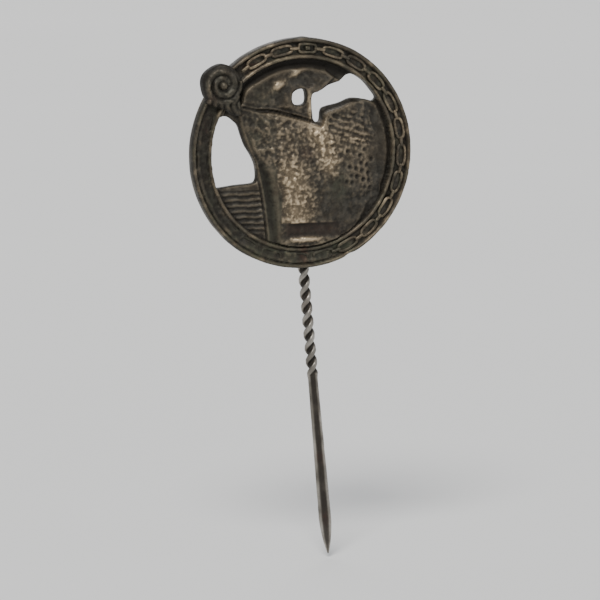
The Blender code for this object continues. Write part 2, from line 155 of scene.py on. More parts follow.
def lattice(x, z, size, seed):
    """Seeded smooth noise from 0 to 1, with blobs about size millimetres across."""
    count = 101
    values = np.random.default_rng(seed).random((count, count))
    turn = seed * 1.37
    u = (x * math.cos(turn) + z * math.sin(turn)) / size
    v = (z * math.cos(turn) - x * math.sin(turn)) / size
    i, j = np.floor(u).astype(int), np.floor(v).astype(int)
    fu, fv = u - i, v - j
    fu, fv = fu * fu * (3 - 2 * fu), fv * fv * (3 - 2 * fv)
    i, j = i % count, j % count
    k, m = (i + 1) % count, (j + 1) % count
    low = values[i, j] * (1 - fu) + values[k, j] * fu
    high = values[i, m] * (1 - fu) + values[k, m] * fu
    return low * (1 - fv) + high * fv


def grain(x, z, size, seed):
    """Two turned layers of noise, spread about zero from -1 to 1."""
    mixed = lattice(x, z, size, seed) + lattice(x, z, size * 0.83, seed + 40)
    return np.clip((mixed - 1.0) * 1.6, -1.0, 1.0)


def through(points, closed=False):
    """A smooth line through these points."""
    steps = 8
    knots = [Vector(p) for p in points]
    if closed:
        knots = [knots[-1], *knots, knots[0], knots[1]]
    else:
        knots = [knots[0] * 2 - knots[1], *knots, knots[-1] * 2 - knots[-2]]
    line = []
    for a, b, c, d in zip(knots, knots[1:], knots[2:], knots[3:]):
        for step in range(steps):
            t = step / steps
            line.append(0.5 * (2 * b + (c - a) * t + (2 * a - 5 * b + 4 * c - d) * t**2
                               + (3 * b - a - 3 * c + d) * t**3))
    if not closed:
        line.append(knots[-2])
    return np.array(line)


def line_distance(x, z, line):
    """Distance to a line, and the share of its length at the nearest point."""
    starts, ends = line[:-1], line[1:]
    spans = ends - starts
    lengths = np.hypot(spans[:, 0], spans[:, 1])
    before = np.concatenate([[0.0], np.cumsum(lengths)[:-1]])
    best = np.full(x.shape, 1e9)
    along = np.zeros(x.shape)
    for start, span, length, begun in zip(starts, spans, lengths, before):
        t = unit(((x - start[0]) * span[0] + (z - start[1]) * span[1]) / max(length * length, 1e-12))
        away = np.hypot(x - start[0] - t * span[0], z - start[1] - t * span[1])
        closer = away < best
        best = np.where(closer, away, best)
        along = np.where(closer, begun + t * length, along)
    return best, along / lengths.sum()


def depth_inside(x, z, loop):
    """Distance to a closed line, positive inside it."""
    ring = np.vstack([loop, loop[:1]])
    away, _ = line_distance(x, z, ring)
    inside = np.zeros(x.shape, bool)
    for (x0, z0), (x1, z1) in zip(ring[:-1], ring[1:]):
        if z0 != z1:
            crosses = (z0 > z) != (z1 > z)
            inside ^= crosses & (x < (x1 - x0) * (z - z0) / (z1 - z0) + x0)
    return np.where(inside, away, -away)


def blurred(values, cells):
    """A grid's values averaged over a square of 2 * cells + 1."""
    size = 2 * cells + 1
    for axis in (0, 1):
        pad = [(cells + 1, cells) if a == axis else (0, 0) for a in (0, 1)]
        total = np.cumsum(np.pad(values, pad, mode="edge"), axis=axis)
        low = np.take(total, range(total.shape[axis] - size), axis=axis)
        high = np.take(total, range(size, total.shape[axis]), axis=axis)
        values = (high - low) / size
    return values


def stands_out(level, near, far, shares):
    """How far each point stands out of the metal close round it, and further off."""
    steps = unit((level - blurred(level, 2)) / near), unit((level - blurred(level, 6)) / far)
    return steps[0] * shares[0] + steps[1] * shares[1]


def blob(x, z, centre, spans, turn=0.0):
    """A soft round patch: 1 at its centre, falling off over its two spans."""
    c, s = math.cos(turn), math.sin(turn)
    dx, dz = x - centre[0], z - centre[1]
    return np.exp(-(((dx * c + dz * s) / spans[0]) ** 2 + ((dz * c - dx * s) / spans[1]) ** 2))


def patches(x, z, rows):
    """The sum of a table's soft patches."""
    return sum(amount * blob(x, z, (left, up), (long, wide), turn) for amount, left, up, long, wide, turn in rows)


# --- meshes


def mesh_object(name, points, faces, attributes, crisp):
    """An object from points on the face (x, height, z) in millimetres, shaded smooth with crisp edges."""
    mesh = bpy.data.meshes.new(name)
    points = np.asarray(points, float)
    mesh.from_pydata((np.stack([points[:, 0], -points[:, 1], points[:, 2]], 1) * MM).tolist(), [], faces)
    for label, values in attributes.items():
        layer = mesh.attributes.new(label, "FLOAT", "POINT")
        layer.data.foreach_set("value", np.asarray(values, np.float32))
    mesh.validate()
    mesh.update()
    mesh.shade_smooth()
    mesh.set_sharp_from_angle(angle=math.radians(crisp))
    made = bpy.data.objects.new(name, mesh)
    bpy.context.scene.collection.objects.link(made)
    return made


def relief_solid(name, pitch, corner, opposite, reach, surface, back, crisp):
    """A closed relief over a flat outline on an even grid whose border points lie on the outline.

    reach gives the distance to the outline, positive inside; surface and back give the height of the front
    and of the reverse, each with its wear masks.
    """
    across = np.arange(corner[0] - pitch, opposite[0] + 2 * pitch, pitch)
    upward = np.arange(corner[1] - pitch, opposite[1] + 2 * pitch, pitch)
    x, z = np.meshgrid(across, upward, indexing="ij")
    depth = reach(x, z)
    nudge = pitch * 0.2
    slope_x = (reach(x + nudge, z) - reach(x - nudge, z)) / (2 * nudge)
    slope_z = (reach(x, z + nudge) - reach(x, z - nudge)) / (2 * nudge)
    steep = np.maximum(np.hypot(slope_x, slope_z), 0.5)
    edge = np.abs(depth) < 0.52 * pitch
    x = np.where(edge, x - depth * slope_x / steep**2, x)
    z = np.where(edge, z - depth * slope_z / steep**2, z)
    kept = edge | (depth > 0)
    height, masks = surface(x, z)
    reverse, reverse_masks = back(x, z)

    count = np.arange(x.size).reshape(x.shape)
    a, b, c, d = count[:-1, :-1], count[1:, :-1], count[1:, 1:], count[:-1, 1:]
    corners = np.stack([a, b, c, d], -1).reshape(-1, 4)
    held = kept.ravel()[corners]
    solid = (~edge & kept).ravel()[corners]
    faces = [tuple(q) for q in corners[held.all(1) & solid.any(1)].tolist()]
    for missing in range(4):
        rest = [i for i in range(4) if i != missing]
        chosen = ~held[:, missing] & held[:, rest].all(1) & solid[:, rest].any(1)
        faces += [tuple(t) for t in corners[chosen][:, rest].tolist()]

    used = sorted({v for face in faces for v in face})
    place = {v: i for i, v in enumerate(used)}
    front_faces = [tuple(place[v] for v in face) for face in faces]
    total = len(used)
    sides = {side: True for face in front_faces for side in zip(face, face[1:] + face[:1])}
    border = [(p, q) for p, q in sides if (q, p) not in sides]
    ring = sorted({v for side in border for v in side})
    middle = {v: 2 * total + i for i, v in enumerate(ring)}

    px, pz = x.ravel()[used], z.ravel()[used]
    ph = height.ravel()[used]
    front = np.stack([px, ph, pz], 1)
    rear = np.stack([px, np.minimum(reverse.ravel()[used], ph - THINNEST), pz], 1)
    waist = (front[ring] + rear[ring]) / 2
    walls = []
    for p, q in border:
        walls.append((q, p, middle[p], middle[q]))
        walls.append((middle[q], middle[p], p + total, q + total))
    faces = front_faces + [tuple(v + total for v in reversed(face)) for face in front_faces] + walls
    attributes = {}
    for label, values in masks.items():
        chosen, behind = values.ravel()[used], reverse_masks.get(label, x * 0).ravel()[used]
        attributes[label] = np.concatenate([chosen, behind, (chosen + behind)[ring] / 2])
    return mesh_object(name, np.vstack([front, rear, waist]), faces, attributes, crisp)


def swept(paths, sections):
    """Points and faces of one closed tube for each path, which lists its rings' points one ring after another."""
    points, faces = [], []
    for path, (sides, closed) in zip(paths, sections):
        first = len(points)
        points.extend(path)
        count = len(path) // sides
        for ring in range(count if closed else count - 1):
            here, there = first + ring * sides, first + (ring + 1) % count * sides
            for side in range(sides):
                after = (side + 1) % sides
                faces.append((here + side, here + after, there + after, there + side))
        if not closed:
            faces.append(tuple(first + side for side in reversed(range(sides))))
            faces.append(tuple(first + (count - 1) * sides + side for side in range(sides)))
    return points, faces


# --- finishes

MIX_FIRST, MIX_SECOND, MIX_RESULT = 6, 7, 2  # a Mix node's colour sockets
FLOOR_FADE = (520.0, 1500.0)


class Value:
    """A shader socket that takes part in arithmetic: an expression on it adds its Math nodes."""

    def __init__(self, finish, socket):
        self.finish, self.socket = finish, socket

    def maths(self, operation, first, second, clamp=False):
        made = self.finish.node("ShaderNodeMath", {"operation": operation, "use_clamp": clamp}, {0: first, 1: second})
        return Value(self.finish, made.outputs[0])

    def __add__(self, other):
        return self.maths("ADD", self, other)

    def __sub__(self, other):
        return self.maths("SUBTRACT", self, other)

    def __rsub__(self, other):
        return self.maths("SUBTRACT", other, self)

    def __mul__(self, other):
        return self.maths("MULTIPLY", self, other)

    __radd__, __rmul__ = __add__, __mul__

    def clamped(self):
        return self.maths("ADD", self, 0.0, True)


class Finish:
    """One node material on a Principled shader, wired from Python expressions."""

    def __init__(self, name):
        self.material = bpy.data.materials.new(name)
        self.material.use_nodes = True
        self.tree = self.material.node_tree
        self.shader = self.tree.nodes["Principled BSDF"]
        place = self.node("ShaderNodeTexCoord", {}, {}).outputs["Object"]
        scaled = self.node("ShaderNodeVectorMath", {"operation": "SCALE"}, {0: place, "Scale": 1 / MM})
        self.place = scaled.outputs[0]

    def feed(self, socket, value):
        if isinstance(value, Value):
            value = value.socket
        if isinstance(value, bpy.types.NodeSocket):
            self.tree.links.new(value, socket)
        else:
            socket.default_value = value

    def node(self, kind, settings, sockets):
        """A node of this type: its settings first, then the values or links of its sockets."""
        made = self.tree.nodes.new(kind)
        for setting, value in settings.items():
            setattr(made, setting, value)
        for key, value in sockets.items():
            self.feed(made.inputs[key], value)
        return made

    def noise(self, scale, detail, rough=0.55):
        sockets = {"Vector": self.place, "Scale": scale, "Detail": detail, "Roughness": rough}
        return Value(self, self.node("ShaderNodeTexNoise", {}, sockets).outputs[0])

    def cells(self, scale):
        sockets = {"Vector": self.place, "Scale": scale, "Randomness": 1.0}
        return Value(self, self.node("ShaderNodeTexVoronoi", {}, sockets).outputs["Distance"])

    def mask(self, name):
        return Value(self, self.node("ShaderNodeAttribute", {"attribute_name": name}, {}).outputs["Fac"])

    def span(self, value, low, high):
        """0 where value is low, 1 where it is high, and smooth between."""
        made = self.node("ShaderNodeMapRange", {"interpolation_type": "SMOOTHSTEP"},
                         {"Value": value, "From Min": low, "From Max": high})
        return Value(self, made.outputs["Result"])

    def blend(self, amount, first, second):
        """A colour from first, where amount is 0, to second, where it is 1."""
        sockets = {0: amount}
        for key, tint in ((MIX_FIRST, first), (MIX_SECOND, second)):
            sockets[key] = tint if isinstance(tint, bpy.types.NodeSocket) else (*tint, 1.0)
        return self.node("ShaderNodeMix", {"data_type": "RGBA"}, sockets).outputs[MIX_RESULT]

    def paint(self, tone, roughness, metallic):
        for socket, value in (("Base Color", tone), ("Roughness", roughness), ("Metallic", metallic)):
            self.feed(self.shader.inputs[socket], value)

    def bump(self, height, distance, strength):
        made = self.node("ShaderNodeBump", {}, {"Height": height, "Distance": distance, "Strength": strength})
        self.feed(self.shader.inputs["Normal"], made.outputs["Normal"])


def old_silver(name, looks):
    """Tarnished silver: smoky grey-brown, creamy where it is rubbed and where highlights are painted on, dark where
    dirt has settled and where shade is painted in.
    """
    finish = Finish(name)
    finish.feed(finish.shader.inputs["Specular IOR Level"], 0.3)
    broad, cloud = finish.noise(0.55, 3.0), finish.noise(1.9, 4.0, 0.6)
    speck, fine = finish.noise(5.5, 4.0, 0.65), finish.noise(15.0, 3.0, 0.6)
    pits = finish.span(finish.cells(3.6), 0.24, 0.06)
    raised, hollow, wear_and_highlight, grime_and_shade, grit = (finish.mask(m) for m in ("raised", "hollow", "wear_and_highlight", "grime_and_shade", "grit"))
    # bright: creamy worn colour on rubbed high points, and painted highlights where the rubbed mask carries them
    bright = (raised * (0.14 + 0.56 * wear_and_highlight) * (0.4 + 1.2 * speck)
              + 0.62 * wear_and_highlight * finish.span(speck + 0.35 * raised, 0.50, 0.74)).clamped()
    # dirt: settled dirt in hollows and pits, and painted shade where the grime mask carries it
    dirt_and_shade = (hollow * (1.05 - 0.6 * speck) * (1.0 - 0.35 * wear_and_highlight) + grime_and_shade * finish.span(speck, 0.18, 0.60)
            + pits * grit * 0.6).clamped()

    tone = finish.blend(finish.span(cloud + 0.3 * (speck - 0.5), 0.34, 0.66), looks.smoke, looks.tarnish)
    for amount, tint in ((finish.span(broad, 0.42, 0.68) * 0.5, looks.warm),
                         ((wear_and_highlight * (0.55 + 0.9 * cloud)).clamped(), looks.wear_and_highlight),
                         (finish.mask("verdigris") * finish.span(cloud, 0.30, 0.62), looks.verdigris),
                         (finish.mask("russet") * finish.span(speck, 0.30, 0.60), looks.russet),
                         (bright, looks.worn_and_highlight), (dirt_and_shade * 0.9, looks.grime_and_shade)):
        tone = finish.blend(amount, tone, tint)
    finish.paint(tone, (0.50 + 0.22 * dirt_and_shade - 0.16 * bright + 0.12 * (fine - 0.5)).clamped(),
                 (0.62 - 0.5 * dirt_and_shade + 0.25 * bright).clamped())
    finish.bump((speck * 0.9 + fine * 0.45 - pits * 1.1) * (0.25 + grit), looks.bump, 0.9)
    return finish.material


def old_wire(name, looks):
    """Brown tarnished wire with rubbed edges and painted highlights on them, and dirt and painted shade in its grooves.
    """
    finish = Finish(name)
    cloud, speck, fine = finish.noise(1.3, 4.0, 0.6), finish.noise(5.0, 4.0, 0.65), finish.noise(16.0, 3.0, 0.6)
    # bright: worn colour and a painted highlight on the wire's rails; dirt: dirt and painted shade in its grooves
    bright = (finish.mask("raised") * (0.5 + 0.8 * speck)).clamped()
    dirt_and_shade = (finish.mask("hollow") * (1.3 - 0.8 * speck)).clamped()
    tone = finish.blend(finish.span(cloud, 0.36, 0.64), looks.shade, looks.tarnish)
    tone = finish.blend(bright, tone, looks.worn_and_highlight)
    tone = finish.blend(finish.mask("russet") * finish.span(speck, 0.30, 0.60), tone, looks.russet)
    tone = finish.blend(dirt_and_shade, tone, looks.grime_and_shade)
    finish.paint(tone, (0.42 + 0.25 * dirt_and_shade - 0.12 * bright + 0.14 * (fine - 0.5)).clamped(),
                 (0.68 - 0.45 * dirt_and_shade + 0.2 * bright).clamped())
    finish.bump(speck * 0.8 + fine * 0.5, looks.bump, 0.8)
    return finish.material


def dull_solder(name, looks):
    """Grey tin solder: dull, softly crystalline, with brown flux stains at its foot."""
    finish = Finish(name)
    cloud, fine, frost = finish.noise(1.6, 4.0, 0.6), finish.noise(9.0, 4.0, 0.6), finish.cells(4.5)
    stain = (finish.mask("hollow") * (1.3 - 0.7 * fine)).clamped()
    tone = finish.blend(finish.span(cloud, 0.35, 0.65), looks.shade, looks.tin)
    tone = finish.blend(stain, tone, looks.flux)
    finish.paint(tone, (0.36 + 0.24 * stain + 0.18 * (fine - 0.3)).clamped(), (0.85 - 0.6 * stain).clamped())
    finish.bump(fine * 0.6 + frost * 0.8, looks.bump, 0.7)
    return finish.material


def painted_floor(name, looks):
    """Matt paint, which fades far away into the tone of the surround."""
    finish = Finish(name)
    away = finish.node("ShaderNodeVectorMath", {"operation": "LENGTH"}, {0: finish.place}).outputs["Value"]
    cloud = finish.span(finish.noise(0.01, 2.0), 0.3, 0.7)
    near = finish.blend(cloud, tuple(c * 0.985 for c in looks.floor), looks.floor)
    finish.paint(finish.blend(finish.span(away, *FLOOR_FADE), near, looks.far_floor), 0.85, 0.0)
    return finish.material


def dress(piece, material):
    """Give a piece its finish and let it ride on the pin."""
    piece.data.materials.append(material)
    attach(piece, "root")


# --- settings


def length(name, description, default):
    return FloatProperty(name=name, description=description, default=default, min=0.0, unit="LENGTH", precision=6)


def sizes(looks, *names):
    """These settings of a group, in millimetres."""
    return [getattr(looks, name) / MM for name in names]


def factor(name, description, default):
    return FloatProperty(name=name, description=description, default=default, min=0.0)


def angle(name, description, degrees):
    return FloatProperty(name=name, description=description, default=math.radians(degrees), subtype="ANGLE")


def colour(name, description, default):
    return FloatVectorProperty(name=name, description=description, default=default, size=3, min=0.0, max=1.0,
                               subtype="COLOR")


class BadgeLooks(bpy.types.PropertyGroup):
    pitch: length("Relief pitch", "Distance between neighbouring points of the relief", 0.00007)
    hull_rise: length("Hull rise", "How far the hull bulges over the ground of the picture", 0.00095)
    ground: length("Ground height", "Height of the picture's ground above the badge's back", 0.0005)
    grain: length("Grain depth", "Depth of the hull's rough grain", 0.000062)
    wave_pitch: length("Ripple pitch", "Distance from one ripple to the next", 0.0004)
    bump: length("Fine grain depth", "Depth of the finest grain, drawn by the finish", 0.000022)
    smoke: colour("Smoke", "Dark tarnish", (0.0190, 0.0178, 0.0146))
    tarnish: colour("Tarnish", "Grey-brown tarnish", (0.056, 0.0515, 0.0425))
    warm: colour("Warm tarnish", "Browner tarnish in broad clouds", (0.047, 0.0375, 0.026))
    # the rubbed tarnish is also a painted highlight on the hull's swell
    wear_and_highlight: colour("Rubbed tarnish", "Thin tarnish where cloth has rubbed it", (0.150, 0.115, 0.073))
    # the worn metal is also a painted highlight on the hull, its ridges, the strut and the deck's lumps
    worn_and_highlight: colour("Worn metal", "Creamy metal on the rubbed grain", (0.53, 0.42, 0.28))
    # the grime is also a painted shadow under the top of the rim
    grime_and_shade: colour("Grime", "Dirt settled in hollows", (0.0095, 0.0072, 0.0042))
    verdigris: colour("Verdigris", "Olive green tint", (0.050, 0.053, 0.035))
    russet: colour("Russet", "Reddish brown spots", (0.070, 0.033, 0.023))


class ChainLooks(bpy.types.PropertyGroup):
    count: IntProperty(name="Links", description="Number of flat links round the rim", default=24, min=6)
    link_length: length("Link length", "Outer length of a flat link", 0.00166)
    link_width: length("Link width", "Outer width of a flat link", 0.00080)
    wire: length("Link wire", "Radius of the links' wire", 0.000118)


class NeedleLooks(bpy.types.PropertyGroup):
    width: length("Wire width", "Width of the grooved wire", 0.00078)
    depth: length("Wire depth", "Thickness of the grooved wire", 0.00050)
    shank_width: length("Shank width", "Width of the wire just below its twist", 0.00068)
    point_width: length("Point width", "Width of the wire where its point begins", 0.00088)
    twist: length("Twisted length", "Length of the twisted stretch below the rim", 0.00775)
    point: length("Point length", "Length of the drawn point", 0.0027)
    bump: length("Fine grain depth", "Depth of the wire's finest grain", 0.000014)
    shade: colour("Dark tarnish", "Dark tarnish of the wire", (0.030, 0.025, 0.018))
    tarnish: colour("Tarnish", "Brown tarnish of the wire", (0.070, 0.060, 0.046))
    # the worn edge is also a painted highlight on the wire's rails
    worn_and_highlight: colour("Worn edge", "Metal on the wire's rubbed edges", (0.40, 0.375, 0.335))
    # the grime is also painted shade in the wire's grooves
    grime_and_shade: colour("Grime", "Dirt in the wire's grooves", (0.014, 0.010, 0.006))
    russet: colour("Russet", "Reddish brown spots", (0.075, 0.026, 0.017))


class SolderLooks(bpy.types.PropertyGroup):
    bump: length("Crystal depth", "Depth of the solder's frosted surface", 0.000012)
    tin: colour("Tin", "Dull grey of the solder", (0.19, 0.185, 0.17))
    shade: colour("Dark tin", "Darker clouds in the solder", (0.095, 0.09, 0.08))
    flux: colour("Flux stain", "Brown stain round the solder's foot", (0.026, 0.017, 0.010))


class StageLooks(bpy.types.PropertyGroup):
    floor: colour("Floor", "Colour of the plain floor", (0.80, 0.80, 0.79))
    far_floor: colour("Far floor", "Colour of the floor far away", (0.335, 0.34, 0.352))
    surround: colour("Surround", "Colour of the even light all round", (0.84, 0.86, 0.90))
    surround_light: factor("Surround light", "Strength of the even light", 0.50)
    key_light: factor("Key light", "Strength of the soft light from above", 2.6)
    fill_light: factor("Fill light", "Strength of the light from the right", 0.7)
    back_light: factor("Back light", "Strength of the light from behind", 0.9)
    distance: length("Camera distance", "Distance from the camera to the pin", 0.25)
    azimuth: angle("Azimuth", "Camera's turn round the pin", -19.0)
    elevation: angle("Elevation", "Camera's height angle", 8.6)
    margin: factor("Margin", "Frame height as a multiple of the pin's height", 1.14)


# --- the badge


def plate_reach(x, z):
    """Distance to the edge of the pierced badge, positive in the metal."""
    depth = RADIUS + patches(x, z, EDGE_MARKS) - 0.018 * (1 + grain(x, z, 0.9, 41)) - np.hypot(x, z)
    for loop in (PROW_OPENING, STERN_OPENING, DECK_OPENING):
        depth = np.minimum(depth, -depth_inside(x, z, through(loop, closed=True)))
    return depth


def rim_height(radius):
    """The rim's section: inner rail, channel and outer bead."""
    radii = RADIUS + np.array([-1.50, -1.42, -1.32, -1.20, -1.14, -0.34, -0.28, -0.20, -0.10, -0.03, 0.0])
    heights = [0.55, 0.98, 1.04, 0.98, 0.80, 0.80, 0.98, 1.08, 1.08, 1.02, 0.90]
    return np.interp(radius, radii, heights)


def hull_loop():
    """The hull's outline: stem, keel along the rim, quarter and sheer."""
    stem, sheer, midship = (through(line) for line in (STEM, SHEER, MIDSHIP))
    turns = np.radians(np.linspace(-112.0, 32.0, 30))
    reach = FIELD + 0.55 - 1.20 * ease(np.degrees(turns), -44.0, -6.0)
    keel = np.stack([reach * np.cos(turns), reach * np.sin(turns)], 1)
    return np.vstack([stem[stem[:, 1] > keel[0, 1]], keel, midship[::-1], sheer[::-1][:-1]])


def deck_loop():
    """The deck's outline: sheer, bulwark and the side towards the stern's opening."""
    after_side = np.array([(2.6, 5.2), (1.4, 4.2), (0.9, 3.6), (0.85, 2.6)])
    return np.vstack([through(SHEER)[::-1], through(BULWARK), after_side])


def strip(x, z):
    """1 on the smooth strip beside the stem, and 0 away from it."""
    left, right = -2.75 - 0.42 * ease(z, -4.5, -1.2), -1.62 - 0.35 * ease(z, -2.9, -1.8)
    return between(x, left, left + 0.25, right - 0.08, right + 0.08) * between(z, -6.6, -6.0, -1.6, -0.2)


def dotted(x, z):
    """1 where the hull's side carries rows of dots."""
    return between(x, 2.6, 3.2, 5.0, 5.6) * between(z, -3.0, -2.4, 0.1, 0.6)


def dots(x, z):
    """Worn rows of round pits on the hull's side, slanting down to the right."""
    u, v = 0.955 * x - 0.297 * z, 0.297 * x + 0.955 * z
    pitch = 0.50
    row = np.round(v / pitch)
    place = np.round(u / pitch - 0.5 * (row % 2)) + 0.5 * (row % 2)
    wander = grain(place * 1.7, row * 1.3, 1.0, 25)
    away = np.hypot(u - pitch * place - 0.05 * wander, v - pitch * row + 0.05 * wander)
    return bell(away, 0.13) * ease(grain(place * 2.3, row * 2.9, 1.0, 26), -0.55, 0.35) * dotted(x, z)


def smooth_spots(x, z):
    """The smooth spot under the rows of dots and the smooth field below it."""
    return blob(x, z, (2.5, -2.3), (0.8, 1.0)), blob(x, z, (3.0, -4.1), (2.4, 1.2))


def crescent(x, z, spans):
    """The short bright ridge over the rim at the bottom, bent as the rim is."""
    return blob(x, z + 0.05 * (x - 0.2) ** 2, (0.2, -5.95), spans, 0.02)


def picture(looks):
    """The struck picture: a function that gives the height and wear masks on the face."""
    lines = [through(line) for line in (STEM, SHEER, BULWARK, MIDSHIP)]
    hull_ring, deck_ring = hull_loop(), deck_loop()
    ground, rise, rough, ripple = sizes(looks, "ground", "hull_rise", "grain", "wave_pitch")

    def height(x, z):
        radius, turn = np.hypot(x, z), np.degrees(np.arctan2(z, x))
        hull_depth, deck_depth = depth_inside(x, z, hull_ring), depth_inside(x, z, deck_ring)
        to_stem, to_sheer, to_bulwark, to_midship = (line_distance(x, z, line)[0] for line in lines)

        # ground, ripples and the ledge beside the prow's opening
        panel = ease(-1.75 - z, 0.0, 0.25) * ease(-hull_depth, -0.05, 0.12) * ease(-2.1 - x, 0.0, 0.3)
        wave = np.sin(2 * np.pi * (z + 0.028 * np.sin(x * 4.1 + z * 2.3) + 0.012 * np.sin(x * 11.0)) / ripple)
        swell = ease(z, -5.75, -5.15) * ease(-2.38 - z, 0.0, 0.15)
        level = ground + panel * (0.14 + 0.062 * wave * swell)
        ledge = ease(radius, FIELD - 0.32, FIELD - 0.18) * ease(-x, 4.0, 5.0) * ease(z, -2.6, -2.2)
        level = np.maximum(level, ground + 0.26 * ledge)

        # deck and the plate round the stern's opening
        deck = ease(deck_depth, 0.0, 0.22)
        lumps = grain(x, z, 0.62, 3) * 0.08 + patches(x, z, DECK_LUMPS)
        level = np.maximum(level, (0.84 + lumps) * deck + level * (1 - deck))
        quarter = ease(z, 3.0, 3.8) * ease(x, 0.5, 1.6) * ease(FIELD - 0.72 - radius, -0.05, 0.18)
        level = np.maximum(level, 0.72 * quarter)
        shelf = ease(x, 3.0, 4.6) * ease(z, -5.0, -3.0)
        level = np.maximum(level, (0.74 - 0.16 * ease(radius, 6.15, 6.5)) * shelf)

        # the hull's swelling side
        swelling = 0.60 + rise * (1 - ((x - 0.6) / 5.9) ** 2 - ((z + 0.9) / 7.2) ** 2)
        roll = 0.42 - 0.24 * ease(z, 1.2, 2.2) + 1.25 * ease(x, 3.2, 5.2) * ease(-z, -2.8, -1.6)
        roll += 0.60 * ease(-x, 1.0, 2.0) * ease(-z, -0.5, 1.0)
        turned = ease(hull_depth / roll, -0.02, 1.0)
        level = np.maximum(level, np.minimum(swelling, 1.64) * turned + level * (1 - turned))

        # stem, sheer strake, bulwark and midship lines
        level = np.maximum(level, ground + 0.24 * ease(hull_depth, -0.05, 0.15))
        level += 0.09 * bell(to_stem, 0.20) * ease(z, -6.7, -6.2) + 0.15 * bell(to_sheer, 0.13)
        level -= 0.08 * bell(to_sheer - 0.27, 0.11) * ease(-hull_depth, 0.0, 0.2)
        band = np.exp(-((to_bulwark / 0.40) ** 4)) * ease(deck_depth, -0.1, 0.1)
        level += 0.14 * bell(to_bulwark, 0.16) + 0.08 * band + 0.05 * bell(to_midship, 0.16)

        # planking rows below the rail, slanting strokes, rows of dots, and the step at the keel
        rows = between(x, 1.3, 2.0, 4.6, 5.3) * between(z, 0.1, 0.6, 2.7, 3.2)
        dashes = np.sin(2 * np.pi * (z + 0.30 * x) / 0.42) * (0.45 + 0.55 * grain(x + 0.3 * z, z * 2.2, 0.42, 23))
        step = between(x, -1.45, -0.9, 1.4, 3.6) * between(z, -5.95, -5.60, -4.92, -4.74)
        level += 0.065 * rows * dashes - 0.14 * dots(x, z) * ease(hull_depth, 0.3, 0.8) - 0.12 * step
        level += patches(x, z, HULL_MARKS) + crescent(x, z, (1.05, 0.24)) * (0.20 + 0.05 * grain(x, z, 0.22, 24))
        level -= 0.18 * blob(x, z, (0.42, 3.1), (0.30, 0.7)) * ease(x, -0.2, 0.1)

        # grain: rough on the rubbed side, quiet on the strip by the stem and towards the stern
        spot, lower_field = smooth_spots(x, z)
        quiet = (1.0 - 0.85 * strip(x, z)) * (1.0 - 0.80 * spot) * (1.0 - 0.72 * lower_field)
        quiet *= (1.0 - 0.6 * ease(x, 4.6, 5.5)) * (1.0 - 0.7 * step) * (1.0 - 0.62 * dotted(x, z))
        coarse = rough * (1.05 * grain(x, z, 0.46, 11) + 0.75 * grain(x, z, 0.24, 12) + 0.42 * grain(x, z, 0.15, 13))
        active = ease(hull_depth, 0.0, 0.4)
        around = 0.55 * (1 - active) * np.maximum(deck, 0.35) * (1.0 - 0.75 * panel) * (1.0 - 0.7 * band)
        level += coarse * (quiet * active + around)

        # the rim with its two beads; dirt fills the channel on the left and below
        left = ease(-x, 3.5, 6.0) * ease(-z, -3.6, 0.0)
        below = bell(turn + 96.0, 34.0)
        channel = ease(radius, RADIUS - 1.20, RADIUS - 1.05) * ease(RADIUS - 0.30 - radius, 0.0, 0.10)
        fill = unit(left + 0.8 * below) * channel
        rim = rim_height(radius) - 0.22 * blob(x, z, (3.45, -7.15), (0.35, 0.18), 0.45)
        rim += fill * (0.05 + 0.13 * ease(radius, CHANNEL - 0.02, CHANNEL + 0.22) + 0.05 * grain(x, z, 0.35, 31))
        rim -= 0.10 * below * (1 - channel) * ease(RADIUS - 0.5 - radius, 0.0, 0.3)
        rim += grain(x, z, 0.34, 32) * 0.030 + grain(x, z, 0.9, 33) * 0.02 + grain(x, z, 0.17, 35) * 0.014
        inside = ease(FIELD + 0.02 - radius, 0.0, 0.10)
        level = level * inside + rim * (1 - inside)

        # softened border of the metal
        border = np.maximum(plate_reach(x, z), 0.0)
        return level - 0.10 * unit(1 - border / 0.13) ** 2

    def surface(x, z):
        level = height(x, z)
        radius = np.hypot(x, z)
        on_rim = ease(radius, FIELD - 0.05, FIELD + 0.05)
        spot, lower_field = smooth_spots(x, z)
        brown = between(x, -1.5, -0.9, 1.2, 3.6) * between(z, -5.90, -5.50, -4.92, -4.72)
        # the bright zones on the hull's swell: rubbed metal and a painted highlight
        upper = line_distance(x, z, np.array([(0.80, 1.45), (1.45, 0.45), (1.80, -0.90)]))[0]
        lower = line_distance(x, z, np.array([(-0.95, -1.30), (-0.60, -3.00), (-0.55, -4.55)]))[0]
        wear_and_highlight = bell(upper, 0.62) + 0.95 * bell(lower, 1.0) * ease(z, -4.88, -4.70)
        wear_and_highlight += patches(x, z, SOFT_RUBS) + 0.10 * dotted(x, z)
        wear_and_highlight *= (1.0 - 0.6 * blob(x, z, (0.05, 0.15), (0.75, 0.85))) * (1.0 - strip(x, z))
        # painted highlights: the ridge over the rim at the bottom, the strut by the deck's opening, the deck's lumps
        # and slanting strokes on the hull
        wear_and_highlight += 0.75 * crescent(x, z, (1.0, 0.25)) + patches(x, z, PAINTED_HIGHLIGHTS)
        wear_and_highlight += 0.18 * on_rim * ease(grain(x, z, 0.5, 36), -0.1, 0.9)

        grime_and_shade = 0.55 * brown + 0.5 * ease(-x, 4.5, 6.0) * ease(radius, 6.85, 7.0) * ease(7.65 - radius, 0, 0.1)
